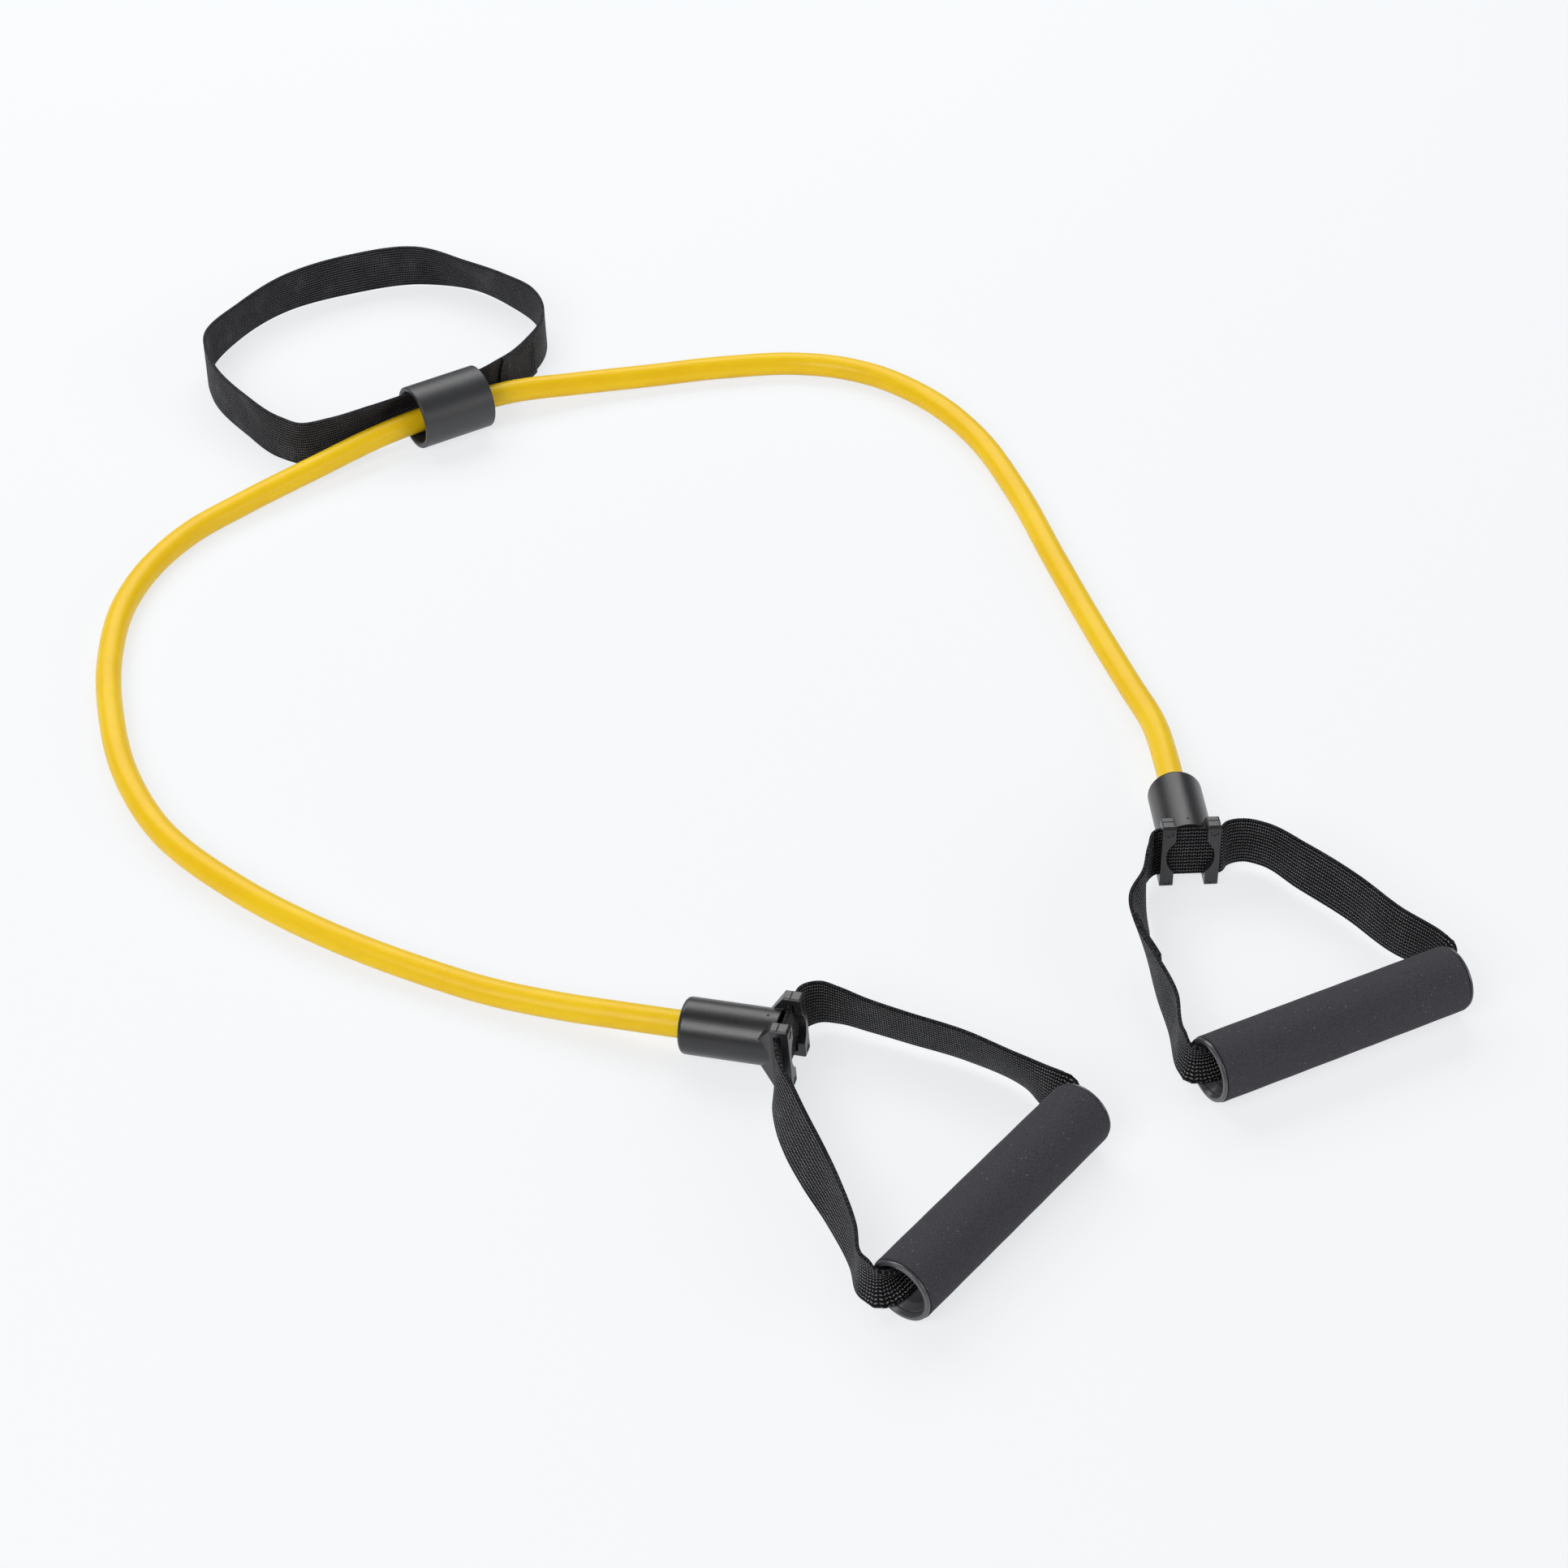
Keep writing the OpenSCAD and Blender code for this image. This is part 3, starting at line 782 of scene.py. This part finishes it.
@dataclass
class ElasticTube:
    """The long elastic tube, spread over a stopper at each end; sizes in millimetres."""

    diameter: float = 12.0
    bore: float = 7.0
    seat: float = 25.0
    plug: float = 11.0
    spread_share: float = 0.44
    cone_share: float = 0.32
    sides: int = 40
    step: float = 2.5
    route: tuple[Place, ...] = (
        (-8, -231, 14.7), (-32, -224, 12.7), (-56, -217, 10.7), (-86, -207.5, 7.8), (-116, -197, 6.2),
        (-148, -183, 6.2), (-189, -161, 6.2), (-230.5, -132, 6.2), (-270.5, -92.5, 6.2),
        (-292.5, -52.5, 6.2), (-305.5, -10.5, 6.2), (-313, 35.5, 6.2), (-312, 78, 6.2),
        (-302.5, 110.5, 6.2), (-287.5, 137, 6.2), (-265, 161.5, 6.2), (-232, 190, 8.2), (-198.5, 216, 11.4),
        (-167.5, 236.5, 12.3), (-134.5, 256, 11.4), (-102, 268.5, 8.2), (-63, 279, 6.4), (-23, 287.5, 6.2),
        (17.5, 291, 6.2), (39, 287.5, 6.2), (59, 279, 6.2), (77, 265.5, 6.2), (93.5, 247.5, 6.2),
        (108, 224.5, 6.2), (128, 172.5, 6.2), (143.5, 115.5, 6.2), (158.5, 62, 6.2), (173.5, 12.5, 6.2),
        (181.5, -15.5, 7.6), (185, -49.5, 10.7), (186.25, -73.5, 12.7), (187.5, -97.5, 14.7))

    def end_axis(self, rear: bool) -> Array:
        """Give the direction in which the tube's end points, at the rear or the front."""
        end, inner = (self.route[-1], self.route[-2]) if rear else (self.route[0], self.route[1])
        return unit(np.subtract(end, inner))

    def cup_back(self, rear: bool) -> Array:
        """Give the middle of the connector's back, where the tube leaves it."""
        end = self.route[-1] if rear else self.route[0]
        return np.array(end, float) - self.seat * self.end_axis(rear)

    def radius(self, distance: float) -> float:
        """Give the tube's outer radius.

        Args:
            distance: Distance from the nearer end.

        Returns:
            The radius in millimetres.
        """
        full = math.sqrt(self.diameter**2 - self.bore**2 + self.plug**2) / 2
        run, cone = self.spread_share * self.seat, self.cone_share * self.seat
        share = min(1.0, max(0.0, 1 - (distance - run) / cone))
        return self.diameter / 2 + (full - self.diameter / 2) * share

    def build(self, palette: Palette) -> Piece:
        """Args:
            palette: Finishes to dress it with.

        Returns:
            The tube.
        """
        line, _ = smooth_curve(np.array(self.route, float), self.step, False)
        run = run_along(line)
        angles = round_about(self.sides)
        rings = []
        for spot, way, place in zip(line, directions(line, False), run):
            side = unit(np.cross(way, UP))
            rise = np.cross(side, way)
            radius = self.radius(min(place, run[-1] - place))
            rings.append(spot + radius * (np.cos(angles)[:, None] * side + np.sin(angles)[:, None] * rise))
        around = angles * self.diameter / 2
        tube = make_piece("elastic_tube", [Sheath(rings, run.tolist(), around, False)])
        dress(tube, palette.tube)
        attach(tube, "band")
        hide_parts("band_tube")
        return tube


# Webbing


@dataclass(frozen=True)
class Sewing:
    """Stitches of a strap's overlap: counts are samples of the strap, and sizes are millimetres."""

    first: int = 2
    last: int = 5
    pitch: int = 4
    stitch: int = 3
    margin: float = 3.0
    bar_rows: tuple[int, ...] = (3, 6, -7, -4)
    bar_from: float = 3.2
    bar_to: float = 4.5
    bar_pitch: float = 2.2
    bar_stitch: float = 1.7
    length: float = 2.2
    arch: float = 0.28
    dip: float = 0.06
    sides: int = 6
    steep: float = 0.9
    shares: tuple[float, ...] = (0.0, 0.2, 0.5, 0.8, 1.0)
    radii: tuple[float, ...] = (0.12, 0.26, 0.3, 0.26, 0.12)


@dataclass
class Webbing:
    """A closed loop of woven strap that follows points [x, y, z, lean inwards, curl]."""

    name: str
    points: Array
    seam: Pair
    seam_face: SeamFace
    width: float = WEB_WIDTH
    thickness: float = WEB_THICK
    cells: int = 14
    step: float = 0.75
    scallop: float = 0.22
    pick: float = 2.1
    rim: float = 0.4
    face_inset: float = 0.45
    edge_inset: float = 0.12
    edge_share: float = 0.6
    least_curl: float = 0.5
    layer_share: float = 0.985
    layer_sink: float = 0.05
    layer_offset: float = 0.5
    sewing: Sewing = Sewing()

    def outline(self) -> Array:
        """List the strap's section.

        Returns:
            Rows of place across and place through the thickness.
        """
        half, thick = self.width / 2, self.thickness / 2
        face = np.linspace(-half + self.face_inset, half - self.face_inset, self.cells + 1)
        inset, share = half - self.edge_inset, self.edge_share * thick
        edge = [(inset, share), (half, 0.0), (inset, -share)]
        rows = [(across, thick) for across in face] + edge + [(across, -thick) for across in face[::-1]]
        rows += [(-across, through) for across, through in edge[::-1]]
        return np.array(rows)

    def sampled(self) -> tuple[Array, Array, Array]:
        """Sample the strap's middle line.

        Returns:
            Rows of the line, its direction at each, and the numbers of the rows under the sewn overlap.
        """
        line, places = smooth_curve(self.points, self.step, True)
        overlap = np.flatnonzero((places >= self.seam[0]) & (places <= self.seam[1]))
        return line, directions(line, True), overlap

    def length(self) -> float:
        """Measure the strap along its middle line, in millimetres."""
        line, _, _ = self.sampled()
        return float(run_along(line)[-1])

    def ring(self, row: Array, way: Array, outline: Array, shift: float) -> Array:
        """Stand the section at one place of the strap.

        Args:
            row: Place, lean and curl.
            way: Direction of the strap there.
            outline: Section to stand there.
            shift: Distance of the section's middle from the strap's own, inwards.

        Returns:
            Points of the section in millimetres.
        """
        side = unit(np.cross(UP, way))
        rise = np.cross(way, side)
        lean, turn = math.radians(row[3]), math.radians(max(self.least_curl, row[4]))
        wide = rise * math.cos(lean) + side * math.sin(lean)
        inwards = side * math.cos(lean) - rise * math.sin(lean)
        radius = self.width / turn
        angle = (turn * outline[:, 0] / self.width)[:, None]
        through = (outline[:, 1] + shift)[:, None]
        return (row[:3] + wide * radius * np.sin(angle) - inwards * radius * (1 - np.cos(angle))
                + through * (inwards * np.cos(angle) + wide * np.sin(angle)))

    def build(self, material: Material) -> Piece:
        """Make the strap with its sewn overlap.

        Args:
            material: Finish of the webbing.

        Returns:
            The strap.
        """
        line, ways, overlap = self.sampled()
        run = run_along(line)
        outline = self.outline()
        rim = np.abs(outline[:, 0]) > self.width / 2 - self.rim
        rings = []
        for row, way, place in zip(line, ways, run):
            section = outline.copy()
            notch = self.scallop * (1 + math.sin(2 * math.pi * place / self.pick))
            section[rim, 0] -= np.sign(section[rim, 0]) * notch
            rings.append(self.ring(row, way, section, 0.0))
        shift = self.seam_face.value * (self.thickness - self.layer_sink)
        narrowed = outline * (self.layer_share, 1.0)
        layer = [self.ring(line[index], ways[index], narrowed, shift) for index in overlap]
        layer_run = (run[overlap] + self.layer_offset).tolist()
        across = outline[:, 0]
        skins = [Sheath(rings, run.tolist(), across, True), Sheath(layer, layer_run, across, False)]
        return dress(make_piece(self.name, skins), material)

    def stitches(self, name: str, material: Material) -> Piece:
        """Sew the overlap: a row down each side and two bars across each end.

        Args:
            name: Name of the piece.
            material: Finish of the thread.

        Returns:
            The stitching.
        """
        sewing, half = self.sewing, self.width / 2
        line, ways, overlap = self.sampled()
        face = self.seam_face.value * (self.thickness + self.thickness / 2 - self.layer_sink)
        ends = []
        for start in range(sewing.first, len(overlap) - sewing.last, sewing.pitch):
            for across in (-half + sewing.margin, half - sewing.margin):
                ends.append(((overlap[start], across), (overlap[start + sewing.stitch], across)))
        for row in sewing.bar_rows:
            for across in np.arange(-half + sewing.bar_from, half - sewing.bar_to, sewing.bar_pitch):
                ends.append(((overlap[row], across), (overlap[row], across + sewing.bar_stitch)))
        return dress(make_piece(name, [self.thread(line, ways, pair, face) for pair in ends]), material)

    def thread(self, line: Array, ways: Array, ends: Sequence[Pair], face: float) -> Sheath:
        """Lay one stitch on the strap's face.

        Args:
            line: Samples of the strap's middle line.
            ways: Direction at each sample.
            ends: Sample and place across of the stitch's two ends.
            face: Distance of the face from the strap's middle, inwards.

        Returns:
            The stitch's skin.
        """
        sewing = self.sewing
        (first, left), (second, right) = ends
        spots = []
        for share in sewing.shares:
            index = int(round(first + share * (second - first)))
            lift = abs(sewing.arch * math.sin(math.pi * share) - sewing.dip)
            place = np.array([[left + share * (right - left), 0.0]])
            spots.append(self.ring(line[index], ways[index], place, face + math.copysign(lift, face))[0])
        run = unit(spots[-1] - spots[0])
        beside = np.cross(UP, run) if abs(run[2]) < sewing.steep else np.array([1.0, 0, 0])
        normal = unit(np.cross(run, beside))
        side = np.cross(run, normal)
        angles = round_about(sewing.sides)
        circle = np.cos(angles)[:, None] * normal + np.sin(angles)[:, None] * side
        rings = [spot + radius * circle for spot, radius in zip(spots, sewing.radii)]
        along = [share * sewing.length for share in sewing.shares]
        return Sheath(rings, along, angles * max(sewing.radii), False)


# Handles


@dataclass
class Handle:
    """One handle: connector, strap, grip core, end rings and foam; sizes in millimetres."""

    side: str
    back: Array
    axis: Array
    grip_mid: Pair
    grip_turn: float
    near_leg: tuple[LegPoint, ...]
    far_leg: tuple[LegPoint, ...]
    seam: Pair
    seam_face: SeamFace
    slot_at: float = 44.9
    jaw_span: float = 26.0
    jaw_past: float = 1.0
    grip_len: float = 124.0
    ring_h: float = 1.8
    ring_od: float = 28.0
    mouth_d: float = 24.4
    flare_depth: float = 5.0
    core_od: float = 22.0
    core_bore: float = 18.0
    foam_od: float = 29.0
    foam_play: float = 0.05
    foam_edge: float = 0.45
    foam_draw: float = 0.08
    foam_power: int = 6
    foam_ripple: float = 0.03
    ripple_rate: float = 0.31
    foam_steps: int = 40
    corner_steps: int = 6
    foam_sides: int = 72
    lip_curl: float = 24.0
    curl_from: float = 0.6
    bend_from: float = 8.0
    bend_to: float = 92.0

    def body(self, part: str) -> str:
        """Name one of the handle's bodies, nodes or pieces."""
        return f"{self.side}_{part}"

    def grip_axis(self, quarter_turns: int = 0) -> Array:
        """Give the grip's direction in plan, turned by quarter turns."""
        angle = math.radians(self.grip_turn + 90 * quarter_turns)
        return np.array([math.cos(angle), math.sin(angle), 0.0])

    def grip_place(self, end: int, out: float, towards: float) -> Array:
        """Find a place out past a grip's end (-1, 1, or 0 for its middle) and towards the connector."""
        middle = np.array([*self.grip_mid, self.foam_od / 2])
        return middle + end * (self.grip_len / 2 + out) * self.grip_axis() + towards * self.grip_axis(1)

    def slot(self) -> Array:
        """Give the middle of the connector's slot."""
        return self.back + self.slot_at * self.axis

    def bore_mid(self) -> float:
        """Give the strap's distance from the grip's axis inside the bore."""
        return self.core_bore / 2 - WEB_PLAY - WEB_THICK / 2

    def lip_rows(self, end: int) -> list[list[float]]:
        """List the strap's points from the bore out over the lip of one end ring.

        Args:
            end: -1 for the near end and 1 for the far end.

        Returns:
            Rows of x, y, z, lean and curl.
        """
        mouth = self.mouth_d / 2 - WEB_PLAY - WEB_THICK / 2
        mid = self.bore_mid()
        full = math.degrees(WEB_WIDTH / mid)
        # Out past the ring, off the grip's axis, and curl in degrees, from the bore to the lip
        rows = ((-self.flare_depth - 5, mid, full), (-self.flare_depth - 0.5, mid, full),
                (-self.flare_depth / 2, (mid + mouth) / 2 - 1, 150), (0.15, mouth - 1.1, 112),
                (1.35, mouth + 1.3, 2 * self.lip_curl), (1.45, self.ring_od / 2 + 2.6, self.lip_curl))
        return [[*self.grip_place(end, out, towards), 0.0, curl] for out, towards, curl in rows]

    def leg_rows(self, start: Sequence[float], end: Sequence[float], leg: Sequence[LegPoint],
                 left: bool) -> list[list[float]]:
        """List the points of one leg from the slot to the grip.

        Args:
            start: First row, at the slot.
            end: Last row, at the grip's lip.
            leg: Share of the way, bulge outwards and lean inwards of each point.
            left: Whether outwards is to the left of the way.

        Returns:
            Rows of x, y, z, lean and curl.
        """
        slot, lip = np.array(start[:3]), np.array(end[:3])
        way = unit([lip[0] - slot[0], lip[1] - slot[1], 0.0])
        out = np.cross(UP, way) if left else np.cross(way, UP)
        rows = []
        for share, bulge, lean in leg:
            curl = max(0.0, self.lip_curl * (share - self.curl_from) / (1 - self.curl_from))
            rows.append([*(slot + share * (lip - slot) + bulge * out), lean, curl])
        return rows

    def strap_points(self) -> Array:
        """List the strap's points, from the slot along the near leg and back along the far one.

        Returns:
            Rows of x, y, z, lean and curl.
        """
        left = unit(np.cross(UP, self.axis))
        tilt = -math.degrees(math.asin(self.axis[2]))
        edge, third = self.jaw_span / 2 + self.jaw_past, self.jaw_span / 3
        slot = [[*(self.slot() + across * left), tilt, 0.0] for across in (-edge, -third, 0.0, third, edge)]
        near, far = self.lip_rows(-1), self.lip_rows(1)
        middle = [*self.grip_place(0, 0, self.bore_mid()), 0.0, near[0][4]]
        near_leg = self.leg_rows(slot[0], near[-1], self.near_leg, False)
        far_leg = self.leg_rows(slot[4], far[-1], self.far_leg, True)
        rows = [*slot[2::-1], *near_leg, *near[::-1], middle, *far, *far_leg[::-1], *slot[:2:-1]]
        return np.array(rows, float)

    def build_strap(self, palette: Palette) -> list[Piece]:
        """Make the strap and its stitching.

        Args:
            palette: Finishes to dress them with.

        Returns:
            The strap and the stitching.
        """
        web = Webbing(self.body("handle_webbing"), self.strap_points(), self.seam, self.seam_face)
        strap = web.build(palette.handle_webbing)
        sewing = web.stitches(self.body("handle_stitching"), palette.thread)
        for piece in (strap, sewing):
            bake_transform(piece)
        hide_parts(self.body("handle_strap"))
        web.length() * MM
        return [strap, sewing]

    def build_foam(self, palette: Palette) -> Piece:
        """Make the foam cover, swollen a little between its ends.

        Args:
            palette: Finishes to dress it with.

        Returns:
            The foam.
        """
        half = self.grip_len / 2 - self.ring_h
        inner, outer, edge = self.core_od / 2 + self.foam_play, self.foam_od / 2, self.foam_edge
        rim, end = outer - edge - self.foam_draw, half - edge
        turn = np.linspace(0, math.pi / 2, self.corner_steps)
        corner = [(rim + edge * math.sin(angle), end + edge * math.cos(angle)) for angle in turn]
        rows = [(inner, -half), (inner, half), *corner]
        for place in np.linspace(end, -end, self.foam_steps)[1:-1]:
            ripple = self.foam_ripple * (1 + math.sin(place * self.ripple_rate))
            rows.append((outer - self.foam_draw * (place / half)**self.foam_power - ripple, place))
        rows += [(radius, -place) for radius, place in corner[::-1]]
        skin = lathe(self.grip_place(0, 0, 0), self.grip_axis(), np.array(rows), self.foam_sides)
        foam = dress(make_piece(self.body("foam"), [skin]), palette.foam)
        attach(foam, self.body("grip"))
        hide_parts(self.body("foam_grip"))
        return foam

    def build(self, palette: Palette) -> list[Piece]:
        """Make the soft pieces of the handle and dress its moulded ones.

        Args:
            palette: Finishes to dress them with.

        Returns:
            The new pieces.
        """
        finishes = {"connector": palette.connector, "plug": palette.plug, "grip_core": palette.core,
                    "near_ring": palette.ring, "far_ring": palette.ring}
        for part, finish in finishes.items():
            dress(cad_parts[self.body(part)], finish)
        return [*self.build_strap(palette), self.build_foam(palette)]


# Anchor


@dataclass
class Anchor:
    """The sliding sleeve and the webbing loop that it gathers; sizes in millimetres."""

    tube_point: Pair = (-167.5, 236.5)
    tube_way: Pair = (64.0, 40.0)
    tube_offset: float = 2.6
    sleeve_od: float = 33.0
    sleeve_wall: float = 3.0
    sleeve_len: float = 40.0
    sleeve_past: float = 1.0
    seam: Pair = (4.25, 6.3)
    bend_from: float = 14.0
    bend_to: float = 136.0
    route: tuple[tuple[float, float, float, float, float], ...] = (
        (-144.5, 263, 15.2, 0, 55), (-135, 273.5, 13.6, 0, 20), (-127.5, 286, 13.2, 0, 5),
        (-120.5, 304.5, 13.2, 0, 0), (-120.5, 320.5, 13.2, 2, 0), (-127, 338, 13.2, 6, 0),
        (-142, 354, 13, 14, 0), (-165, 370.5, 12.8, 20, 0), (-193, 379.5, 13.2, 3, 0),
        (-231, 370, 13.2, 0, 0), (-264, 350.5, 13.2, 6, 0), (-285.5, 322.5, 13.2, 8, 0),
        (-298.5, 291.5, 13.2, 0, 0), (-292, 263.5, 13.2, 2, 0), (-270.5, 231.5, 13.2, 2, 0),
        (-250, 210.5, 13.2, 4, 0), (-239.5, 205.5, 13.2, 2, 4), (-225, 210.5, 13.6, 0, 20),
        (-206.5, 221.5, 15, 0, 60))

    def way(self) -> Array:
        """Give the sleeve's direction."""
        return unit([*self.tube_way, 0.0])

    def behind(self) -> Array:
        """Give the direction from the sleeve towards the loop."""
        return np.cross(UP, self.way())

    def middle(self) -> Array:
        """Give the sleeve's middle."""
        return np.array([*self.tube_point, self.sleeve_od / 2]) - self.tube_offset * self.behind()

    def strap_points(self) -> Array:
        """List the loop's points, from the sleeve's left mouth to its right and round.

        Returns:
            Rows of x, y, z, lean and curl.
        """
        radius = self.sleeve_od / 2 - self.sleeve_wall - WEB_PLAY - WEB_THICK / 2
        curl = math.degrees(WEB_WIDTH / radius)
        inner, outer = self.sleeve_len / 4, self.sleeve_len / 2 + self.sleeve_past
        inside = [[*(self.middle() + reach * self.way() + radius * self.behind()), 0.0, curl]
                  for reach in (-outer, -inner, inner, outer)]
        return np.array([*inside, *self.route], float)

    def build(self, palette: Palette) -> list[Piece]:
        """Make the loop and dress the sleeve.

        Args:
            palette: Finishes to dress them with.

        Returns:
            The strap and the stitching.
        """
        dress(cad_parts["anchor_sleeve"], palette.sleeve)
        web = Webbing("anchor_webbing", self.strap_points(), self.seam, SeamFace.OUTER)
        strap = web.build(palette.anchor_webbing)
        sewing = web.stitches("anchor_stitching", palette.thread)
        for piece in (strap, sewing):
            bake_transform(piece)
        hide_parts("anchor_strap")
        web.length() * MM
        return [strap, sewing]


def main() -> None:
    """Build the studio and every piece, and report each."""
    logging.basicConfig(level=logging.INFO, format="%(name)s: %(message)s")
    Studio().build()
    palette = Palette.mixed()
    tube = ElasticTube()
    pieces = [tube.build(palette)]
    front = Handle(
        side="front", back=tube.cup_back(False), axis=tube.end_axis(False),
        grip_mid=(92.5, -325), grip_turn=51.5,
        near_leg=((0.08, 3.5, 4), (0.2, 4.5, 15), (0.34, 4.3, 19), (0.48, 2.8, 18), (0.68, 0, 10),
                  (0.88, -1.3, 3)),
        far_leg=((0, 6, -3), (0.05, 12.3, 3), (0.12, 13.4, 9), (0.24, 12.6, 14), (0.4, 12, 16),
                 (0.63, 11.4, 17), (0.87, 5.6, 15)),
        seam=(14.3, 14.84), seam_face=SeamFace.OUTER)
    rear = Handle(
        side="rear", back=tube.cup_back(True), axis=tube.end_axis(True),
        grip_mid=(239, -225), grip_turn=27,
        near_leg=((0.08, 5.8, 3), (0.21, 7.9, -5), (0.33, 11.2, -22), (0.46, 11.2, -19), (0.64, 6.9, -6),
                  (0.84, 1.2, 2)),
        far_leg=((0, 5, -4), (0.05, 12.2, 0), (0.12, 14.9, 0), (0.32, 13, -6), (0.58, 8.9, -6),
                 (0.82, 1.8, -5)),
        seam=(5.75, 7.05), seam_face=SeamFace.INNER)
    for assembly in (front, rear, Anchor()):
        pieces += assembly.build(palette)
    for piece in pieces:
        LOG.info("%s: %d points", piece.name, len(piece.data.vertices))


if __name__ == "__main__":
    main()
